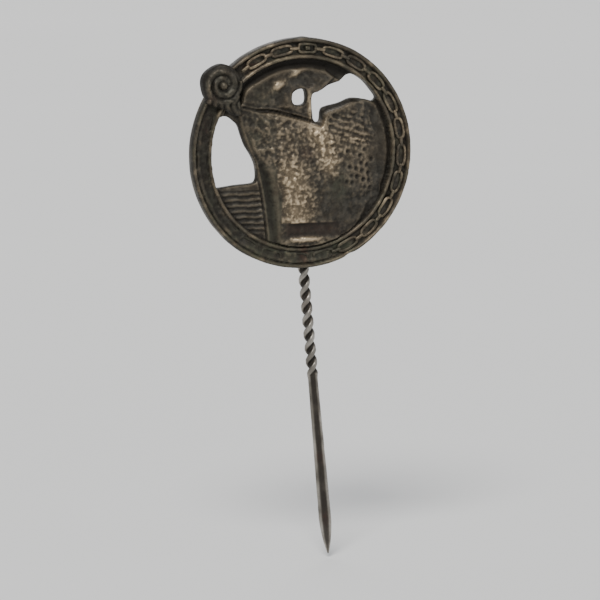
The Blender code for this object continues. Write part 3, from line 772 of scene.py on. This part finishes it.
        # painted shadow: a dark band just inside the rim at the top
        grime_and_shade += ease(z, 4.4, 5.4) * ease(FIELD - radius, -0.05, 0.02) * ease(radius, 5.75, 6.1)
        grime_and_shade += 0.45 * blob(x, z, (-0.35, 3.8), (0.75, 0.75)) * ease(-x, -0.45, -0.30)
        grime_and_shade += 0.6 * between(x, -4.6, -4.2, -3.4, -2.6) * blob(x, z, (-4.0, 2.3), (0.9, 0.5), -0.6)
        grime_and_shade += 0.25 * on_rim * ease(grain(x, z, 0.5, 34), -0.2, 0.7) + 0.6 * dots(x, z)

        verdigris = patches(x, z, GREEN_PATCHES) + 0.65 * ease(-z, 5.9, 6.8) + 0.5 * strip(x, z)
        verdigris += 0.6 * on_rim * ease(grain(x, z, 1.3, 37), -0.4, 0.5)
        grit = 0.85 - 0.60 * strip(x, z) - 0.5 * spot - 0.35 * lower_field - 0.4 * brown - 0.25 * on_rim
        masks = {"wear_and_highlight": wear_and_highlight, "grime_and_shade": grime_and_shade, "verdigris": verdigris,
                 "russet": 0.45 * brown + patches(x, z, RUSSET_SPOTS)}
        masks = {label: unit(values) for label, values in masks.items()}
        raised = stands_out(level, 0.035, 0.09, (0.55, 0.45)) * (1.0 - 0.38 * on_rim)
        return level, {**masks, "raised": raised, "hollow": stands_out(-level, 0.035, 0.10, (0.5, 0.6)),
                       "grit": np.clip(grit, 0.1, 1.0)}

    return surface


def plate_back(x, z):
    """The reverse: a flat rim round a slightly sunk, faintly hammered ground, stained where it is soldered."""
    radius = np.hypot(x, z)
    on_rim = ease(radius, FIELD, FIELD + 0.2)
    sunk = 0.06 * ease(FIELD + 0.1 - radius, 0.0, 0.12) + 0.09 * ease(radius, RADIUS - 0.12, RADIUS)
    dimple = 0.02 * ease(grain(x, z, 1.1, 51), -0.2, 0.9) * ease(FIELD - radius, 0.0, 0.5)
    border = unit(1 - np.maximum(plate_reach(x, z), 0.0) / 0.12) ** 2 * 0.05
    cloth_rub = 0.45 * on_rim * ease(grain(x, z, 1.4, 52), -0.6, 0.5)
    flux = 0.55 * blob(x, z, (0.3, -6.2), (1.9, 1.6))
    return sunk + dimple + border, {
        "hollow": 0.8 * bell(radius - FIELD - 0.06, 0.12),
        "wear_and_highlight": cloth_rub + 0.20 * ease(grain(x, z, 2.6, 53), -0.2, 0.8),
        "grime_and_shade": flux + 0.3 * ease(grain(x, z, 1.9, 54), 0.0, 0.9) * (1 - on_rim),
        "verdigris": 0.5 * ease(grain(x, z, 2.2, 55), 0.0, 0.8),
        "russet": 0.35 * ease(grain(x, z, 1.5, 56), 0.4, 1.0),
        "grit": 0.35 + 0.3 * (1 - on_rim),
    }


class STICKPIN_OT_badge(bpy.types.Operator):
    """Strike the badge: rim, ship's bow, ripples and openings in worn silver"""

    bl_idname = "stick_pin.badge"
    bl_label = "Badge relief"

    def execute(self, context):
        looks = context.scene.stick_pin_badge
        low, high = (-RADIUS, -RADIUS), (RADIUS, RADIUS)
        piece = relief_solid("badge_relief", looks.pitch / MM, low, high, plate_reach, picture(looks), plate_back, 55.0)
        if len(piece.data.polygons) < 1000:
            raise RuntimeError("the badge's relief came out empty")
        dress(piece, old_silver("worn_silver", looks))
        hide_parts("badge_plate")
        return {"FINISHED"}


# --- the chain on the rim


def link_sink(turn):
    """How deep a link sits in the dirt and wear, by its place round the rim in degrees."""
    turn = (turn + 180.0) % 360.0 - 180.0
    left = ease(abs(turn), 138.0, 160.0)
    return min(0.15, float(0.15 * left + 0.11 * bell(turn + 96.0, 26.0) + 0.15 * bell(turn + 140.0, 24.0)))


def under_scroll(middle):
    """Whether a link at this place on the channel would lie under the scroll."""
    return math.hypot(CHANNEL * math.cos(middle) - SCROLL_EYE[0], CHANNEL * math.sin(middle) - SCROLL_EYE[1]) < 2.0


def rounded(c, s, squareness):
    """How far a rounded box of half size 1 reaches in the direction of a cosine and sine."""
    return (abs(c) ** squareness + abs(s) ** squareness) ** (-1 / squareness)


def flat_link(middle, half_length, half_width, wire, height, squareness, bend):
    """A long link lying in the channel, as rings of points round its wire."""
    points, steps = [], 36
    for step in range(steps):
        a = 2 * math.pi * step / steps
        c, s = math.cos(a), math.sin(a)
        reach = rounded(c, s, squareness)
        along, out = half_length * c * reach, half_width * s * reach
        length = math.hypot(half_length * s, half_width * c)
        along_side, out_side = half_width * c / length, half_length * s / length
        thick = wire * (1.0 + 0.10 * math.sin(3 * a + bend))
        for side in range(LINK_SIDES):
            b = 2 * math.pi * side / LINK_SIDES
            reach_out = thick * math.cos(b)
            turn = middle - (along + along_side * reach_out) / CHANNEL
            radius = CHANNEL + out + out_side * reach_out
            points.append((radius * math.cos(turn), height + thick * math.sin(b), radius * math.sin(turn)))
    return points


def edge_link(middle, half, wire, height):
    """A link seen edge on: a short bar with round ends along the rim."""
    points, steps = [], 10
    for step in range(steps + 1):
        share = -1 + 2 * step / steps
        along = half * math.sin(share * math.pi / 2)
        taper = max(0.06, math.sqrt(max(0.0, 1 - abs(share) ** 4)))
        turn = middle - along / CHANNEL
        for side in range(LINK_SIDES):
            b = 2 * math.pi * side / LINK_SIDES
            radius, lift = CHANNEL + wire * taper * math.cos(b), 1.1 * wire * taper * math.sin(b)
            points.append((radius * math.cos(turn), height + lift, radius * math.sin(turn)))
    return points


class STICKPIN_OT_chain(bpy.types.Operator):
    """Lay the chain of long links in the rim's channel"""

    bl_idname = "stick_pin.chain"
    bl_label = "Chain links"

    def execute(self, context):
        looks, badge = context.scene.stick_pin_chain, context.scene.stick_pin_badge
        rng = np.random.default_rng(7)
        wire, long, wide = sizes(looks, "wire", "link_length", "link_width")
        half_length, half_width = long / 2 - wire, wide / 2 - wire
        paths, sections, wear = [], [], []

        def lay(path, closed, wear_and_highlight):
            paths.append(path)
            sections.append((LINK_SIDES, closed))
            wear.extend([wear_and_highlight] * len(path))

        for index in range(looks.count):
            turn = FIRST_LINK - 360.0 * index / looks.count
            sway, swell, lift = rng.uniform(-0.25, 0.25), rng.uniform(0.95, 1.05), rng.uniform(-0.012, 0.012)
            middle = math.radians(turn + sway)
            if not under_scroll(middle):
                share, squareness = (swell, 3.0) if index else (0.84, 6.0)
                height = 0.865 - link_sink(turn) + lift
                lay(flat_link(middle, half_length * share, half_width, wire, height, squareness, rng.uniform(0, 6)),
                    True, 1.0)
            turn -= 180.0 / looks.count
            middle, sink = math.radians(turn), link_sink(turn)
            if not under_scroll(middle) and sink <= BURIED:
                lay(edge_link(middle, 0.34 * swell, wire * 1.05, 0.925 - sink + lift), False, 0.85)
        lay(edge_link(math.radians(FIRST_LINK), 0.17, wire * 1.3, 0.90), False, 1.5)
        if len(paths) < looks.count:
            raise RuntimeError("too few links were laid in the channel")
        points, faces = swept(paths, sections)
        x, level, z = np.array(points).T
        top = np.array(wear) * ease(level, 0.88, 1.02)
        masks = {
            "raised": unit(top * (0.36 + 0.40 * grain(x, z, 0.5, 71))),
            "hollow": ease(-level, -0.91, -0.82) * 0.9,
            "wear_and_highlight": unit(0.10 + 0.36 * top * ease(grain(x, z, 1.2, 72), -0.4, 0.6)),
            "grime_and_shade": unit(0.35 * ease(-x, 3.0, 6.0)),
            "verdigris": unit(0.5 * ease(-z, 5.5, 6.8) + 0.6 * ease(grain(x, z, 1.6, 73), -0.3, 0.6)),
            "russet": np.zeros(len(x)),
            "grit": np.full(len(x), 0.35),
        }
        piece = mesh_object("chain_links", points, faces, masks, 70.0)
        dress(piece, old_silver("worn_silver_links", badge))
        return {"FINISHED"}


# --- the scroll on the prow


def scroll_reach(x, z):
    """Distance to the scroll's edge, positive in the metal: a slightly uneven disc and its leaf."""
    dx, dz = x - SCROLL_EYE[0], z - SCROLL_EYE[1]
    disc = 1.40 - np.hypot(dx, dz) + 0.03 * np.sin(5 * np.arctan2(dz, dx) + 0.6)
    return np.maximum(disc, depth_inside(x, z, through(SCROLL_LEAF, closed=True)))


def scroll_surface(x, z):
    """A wound volute with a round eye, running down into a fluted leaf."""
    dx, dz = x - SCROLL_EYE[0], z - SCROLL_EYE[1]
    away = np.hypot(dx, dz)
    turn = (np.arctan2(dz, dx) + math.radians(42.0)) % (2 * math.pi) / (2 * math.pi)
    rope = np.full(x.shape, 9.0)
    for wind in (-1, 0, 1, 2):
        line = 0.24 + 0.52 * (turn + wind)
        allowed = (line > 0.30) & (line < 1.36)
        rope = np.where(allowed, np.minimum(rope, np.abs(away - line)), rope)
    ridge = unit(1 - (rope / 0.26) ** 2) * (0.80 + 0.28 * grain(x, z, 0.8, 64))
    volute = 1.33 + 0.23 * ridge
    eye = 1.33 + 0.32 * np.sqrt(unit(1 - (away / 0.30) ** 2))
    level = np.maximum(volute, np.where(away < 0.30, eye, 0))
    tail = through([(-4.75, 4.15), (-5.10, 3.70), (-5.00, 3.20), (-4.62, 2.86)])
    spread, along = line_distance(x, z, tail)
    flutes = 1.30 + 0.20 * np.abs(np.cos(spread * 7.2)) * (1 - 0.5 * along)
    leaf = ease(away, 1.22, 1.42) * ease(-z, -4.35, -3.95)
    level = level * (1 - leaf) + flutes * leaf
    level = level + 0.040 * grain(x, z, 0.36, 61) + 0.022 * grain(x, z, 0.17, 62)
    border = np.maximum(scroll_reach(x, z), 0.0)
    level = level - 0.24 * unit(1 - border / 0.28) ** 2
    return level, {
        "raised": stands_out(level, 0.04, 0.12, (0.4, 0.3)),
        "hollow": stands_out(-level, 0.03, 0.09, (0.5, 0.6)),
        "wear_and_highlight": 0.35 * ease(level, 1.50, 1.62) * ease(grain(x, z, 0.7, 65), -0.4, 0.6),
        "grime_and_shade": 0.45 * ease(-level, -1.40, -1.30) + 0.25 * ease(grain(x, z, 0.9, 66), 0.0, 0.8),
        "verdigris": 0.25 * ease(grain(x, z, 1.5, 63), 0.0, 0.6),
        "russet": 0.3 * blob(x, z, (-6.8, 4.0), (0.5, 0.4)),
        "grit": np.full(x.shape, 0.6),
    }


def scroll_back(x, z):
    """The scroll's underside, which hooks over the rim."""
    radius = np.hypot(x, z)
    over_rim = ease(radius, FIELD - 0.10, FIELD - 0.04)
    outside = ease(radius, RADIUS + GAP, RADIUS + GAP + 0.05)
    level = 0.80 * (1 - over_rim) + 1.12 * over_rim * (1 - outside) + 0.36 * outside
    return level, {"grime_and_shade": 0.5 + 0.3 * grain(x, z, 0.8, 67), "grit": np.full(x.shape, 0.4)}


class STICKPIN_OT_scroll(bpy.types.Operator):
    """Set the plain scroll on the prow"""

    bl_idname = "stick_pin.scroll"
    bl_label = "Prow scroll"

    def execute(self, context):
        looks = context.scene.stick_pin_badge
        low, high = (-7.4, 2.6), (-4.3, 6.45)
        piece = relief_solid("prow_scroll", 0.04, low, high, scroll_reach, scroll_surface, scroll_back, 60.0)
        if len(piece.data.polygons) < 500:
            raise RuntimeError("the scroll's relief came out empty")
        dress(piece, old_silver("worn_silver_scroll", looks))
        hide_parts("billethead_scroll")
        return {"FINISHED"}


# --- the needle


def strip_section(width, depth, squareness, groove):
    """The wire's outline as (across, deep, hollowness): round edges and a groove along each face."""
    outline = []
    for side in range(WIRE_SIDES):
        a = 2 * math.pi * (side + 0.5) / WIRE_SIDES
        c, s = math.cos(a), math.sin(a)
        reach = rounded(c, s, squareness)
        across, deep = c * reach, s * reach
        sunk = max(0.0, 1 - (across / 0.52) ** 2) ** 0.8
        deep *= 1 - groove / max(depth / 2, groove) * sunk
        outline.append((across * width / 2, deep * depth / 2, sunk))
    return outline


def needle_stations(looks):
    """One row for each ring of the needle: its place, size, twist, groove and how far it is head or point."""
    top = NEEDLE_HIGH.z / MM
    start = (top + RADIUS) / math.cos(LEAN)
    length = (top - NEEDLE_LOW.z / MM) / math.cos(LEAN)
    names = ("width", "depth", "shank_width", "point_width", "twist", "point")
    width, depth, shank, wide, twist, point = sizes(looks, *names)
    shoulder = length - point
    stations = [np.linspace(0.0, start, 30)[:-1], np.linspace(start, start + twist, 220)[:-1],
                np.linspace(start + twist, shoulder, 90)[:-1], shoulder + point * np.linspace(0.0, 1.0, 50) ** 0.8]
    rows = []
    for away in np.concatenate(stations):
        head = 1 - ease(away, 1.75, 2.75)
        turned = unit((away - start) / twist)
        straight = ease(away, start + twist - 0.15, start + twist + 0.35)
        spread = width + (shank - width) * straight
        spread += (wide - shank) * unit((away - start - twist) / (shoulder - start - twist)) ** 1.2
        deep = depth * (1 - 0.20 * straight)
        taper = unit((away - shoulder) / point)
        spread -= (spread - 0.09) * taper**1.9
        deep -= (deep - 0.08) * taper**2.4
        spread += (1.20 * ease(away, -0.4, 0.3) - spread) * head
        deep += (0.36 * ease(away, -0.3, 0.08) - deep) * head
        groove = (0.125 - 0.02 * straight) * (1 - head) * (1 - ease(taper, 0.35, 0.95))
        sway = 0.035 * math.sin(2 * math.pi * HALF_TURNS * turned + 0.4)
        turn = -(turned * (HALF_TURNS * math.pi + SHANK_TURN) + sway)
        rows.append((away, spread, deep, turn, groove, head, taper, GAP + deep / 2 * head + 0.25 * (1 - head)))
    return rows


class STICKPIN_OT_needle(bpy.types.Operator):
    """Draw the needle: flattened head, twisted grooved wire, straight shank and point"""

    bl_idname = "stick_pin.needle"
    bl_label = "Needle"

    def execute(self, context):
        looks = context.scene.stick_pin_needle
        root_z = NEEDLE_HIGH.z / MM
        root_x = NEEDLE_OFFSET - (root_z + RADIUS) * math.tan(LEAN)
        rings, masks = [], {"raised": [], "hollow": [], "russet": []}
        for away, width, depth, turn, groove, head, taper, behind in needle_stations(looks):
            c, s = math.cos(turn), math.sin(turn)
            for index, (across, back, sunk) in enumerate(strip_section(width, depth, 3.2 + head, groove)):
                swell = 1 + 0.03 * float(grain(np.array(away + index * 0.03), np.array(index * 0.19), 0.5, 81))
                u, v = (across * c - back * s) * swell, (across * s + back * c) * swell
                x = root_x + math.sin(LEAN) * away + math.cos(LEAN) * u
                z = root_z - math.cos(LEAN) * away + math.sin(LEAN) * u
                rings.append((x, -(behind + v), z))
                # the rails carry wear and a painted highlight, the groove dirt and painted shade
                rail = ease(abs(across) / (width / 2), 0.42, 0.70)
                masks["raised"].append((0.80 * rail + 0.05) * (1 - head * 0.7) + 0.35 * taper)
                masks["hollow"].append(sunk * (1 - 0.6 * taper**2) * (1 - 0.8 * head))
                masks["russet"].append(0.8 * bell(z + 21.6, 0.45) * (0.3 + sunk) + 0.7 * bell(z + 26.1, 0.6) * sunk
                                       + 0.25 * bell(z + 10.5, 0.9))
        points, faces = swept([rings], [(WIRE_SIDES, False)])
        if len(points) < 1000:
            raise RuntimeError("the needle has no length")
        x, _, z = np.array(points).T
        cloudy = {"raised": 0.75 + 0.5 * grain(x, z, 0.8, 82), "hollow": 0.95 + 0.35 * grain(x, z, 0.6, 83)}
        masks = {label: unit(np.array(values) * cloudy.get(label, 1.0)) for label, values in masks.items()}
        piece = mesh_object("needle_wire", points, faces, masks, 75.0)
        dress(piece, old_wire("tarnished_wire", looks))
        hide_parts("needle")
        return {"FINISHED"}


# --- the solder


def solder_bead(name, low, high, seed):
    """A slumped mound of solder on the badge's back, with a thin irregular foot."""
    rounds, steps = 72, 26
    middle = ((low.x + high.x) / 2 / MM, (low.z + high.z) / 2 / MM)
    half = ((high.x - low.x) / 2 / MM, (high.z - low.z) / 2 / MM)
    top = high.y / MM
    points, hollow = [], []
    for step in range(steps + 1):
        share = step / steps
        spread = 0.82 * math.cos(share * math.pi / 2) + 0.18 * (1 - share) ** 6
        for turn in range(rounds):
            a = 2 * math.pi * turn / rounds
            foot = 0.90 + 0.09 * float(grain(np.array(math.cos(a) * 2), np.array(math.sin(a) * 2), 0.9, seed))
            dx, dz = half[0] * foot * spread * math.cos(a), half[1] * foot * spread * math.sin(a)
            bumpy = 0.02 * float(grain(np.array(dx), np.array(dz), 0.5, seed + 1)) * share
            rise = (top - 0.02) * (1 - (1 - math.sin(share * math.pi / 2)) ** 0.85) + bumpy - 0.07 * (1 - share) ** 4
            points.append((middle[0] + dx, -rise, middle[1] + dz))
            hollow.append(1 - ease(share, 0.05, 0.5))
    points, faces = swept([points], [(rounds, False)])
    return mesh_object(name, points, [face[::-1] for face in faces], {"hollow": hollow}, 60.0)


class STICKPIN_OT_solder(bpy.types.Operator):
    """Flow the two beads of solder that hold the needle on the badge's back"""

    bl_idname = "stick_pin.solder"
    bl_label = "Solder"

    def execute(self, context):
        looks = context.scene.stick_pin_solder
        finish = dull_solder("dull_tin", looks)
        for name, box, node, seed in (("solder_mound", (HEAD_LOW, HEAD_HIGH), "solder_head", 91),
                                      ("solder_saddle", (SADDLE_LOW, SADDLE_HIGH), "solder_rim", 95)):
            piece = solder_bead(name, *box, seed)
            dress(piece, finish)
            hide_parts(node)
        return {"FINISHED"}


# --- the stage


def lamp(name, towards, spread, strength, tint):
    """A soft light from far away in one direction, so that the whole floor is lit alike."""
    light = bpy.data.lights.new(name, "SUN")
    light.angle, light.energy, light.color = math.radians(spread), strength, tint
    made = bpy.data.objects.new(name, light)
    bpy.context.scene.collection.objects.link(made)
    made.rotation_euler = Vector(towards).to_track_quat("Z", "Y").to_euler()


class STICKPIN_OT_stage(bpy.types.Operator):
    """Set the pale floor, the soft lamps and the camera"""

    bl_idname = "stick_pin.stage"
    bl_label = "Stage"

    def execute(self, context):
        looks = context.scene.stick_pin_stage
        low, high = CAD_BOX
        centre = (low + high) / 2
        mesh = bpy.data.meshes.new("floor")
        half, level = 6.0, low.z - 0.0003
        mesh.from_pydata([(-half, -half, level), (half, -half, level), (half, half, level), (-half, half, level)], [],
                         [(0, 1, 2, 3)])
        floor = bpy.data.objects.new("floor", mesh)
        context.scene.collection.objects.link(floor)
        mesh.materials.append(painted_floor("pale_floor", looks))
        lamp("key", (-0.45, -0.80, 1.05), 22.0, looks.key_light, (1.0, 0.985, 0.96))
        lamp("fill", (1.0, -0.75, 0.35), 50.0, looks.fill_light, (0.95, 0.97, 1.0))
        lamp("behind", (0.15, 1.0, 0.65), 50.0, looks.back_light, (1.0, 1.0, 1.0))
        world = bpy.data.worlds.new("surround")
        world.use_nodes = True
        shade = world.node_tree.nodes["Background"]
        shade.inputs["Color"].default_value = (*looks.surround, 1.0)
        shade.inputs["Strength"].default_value = looks.surround_light
        context.scene.world = world
        camera = bpy.data.cameras.new("camera")
        seen = bpy.data.objects.new("camera", camera)
        context.scene.collection.objects.link(seen)
        a, e = looks.azimuth, looks.elevation
        back = Vector((math.sin(a) * math.cos(e), -math.cos(a) * math.cos(e), math.sin(e)))
        seen.location = centre + back * looks.distance
        seen.rotation_mode = "QUATERNION"
        seen.rotation_quaternion = (-back).to_track_quat("-Z", "Y")
        camera.sensor_width = 36.0
        camera.lens = camera.sensor_width * looks.distance / ((high.z - low.z) * looks.margin)
        camera.clip_start, camera.clip_end = 0.01, 50.0
        context.scene.camera = seen
        return {"FINISHED"}


# --- panel and registration


class STICKPIN_PT_panel(bpy.types.Panel):
    """The pin's steps in the order in which they are made"""

    bl_idname = "STICKPIN_PT_panel"
    bl_label = "Stick pin"
    bl_space_type = "VIEW_3D"
    bl_region_type = "UI"
    bl_category = "Stick pin"

    def draw(self, context):
        for step in STEPS:
            self.layout.operator(step.bl_idname)


STEPS = (STICKPIN_OT_stage, STICKPIN_OT_badge, STICKPIN_OT_chain, STICKPIN_OT_scroll, STICKPIN_OT_needle,
         STICKPIN_OT_solder)
SETTINGS = {"stick_pin_badge": BadgeLooks, "stick_pin_chain": ChainLooks, "stick_pin_needle": NeedleLooks,
            "stick_pin_solder": SolderLooks, "stick_pin_stage": StageLooks}


def register():
    for kind in (*SETTINGS.values(), *STEPS, STICKPIN_PT_panel):
        bpy.utils.register_class(kind)
    for name, kind in SETTINGS.items():
        setattr(bpy.types.Scene, name, PointerProperty(type=kind))


def unregister():
    for name in SETTINGS:
        delattr(bpy.types.Scene, name)
    for kind in reversed((*SETTINGS.values(), *STEPS, STICKPIN_PT_panel)):
        bpy.utils.unregister_class(kind)


def main():
    register()
    bpy.ops.stick_pin.stage()
    bpy.ops.stick_pin.badge()
    bpy.ops.stick_pin.chain()
    bpy.ops.stick_pin.scroll()
    bpy.ops.stick_pin.needle()
    bpy.ops.stick_pin.solder()


if __name__ == "__main__":
    main()
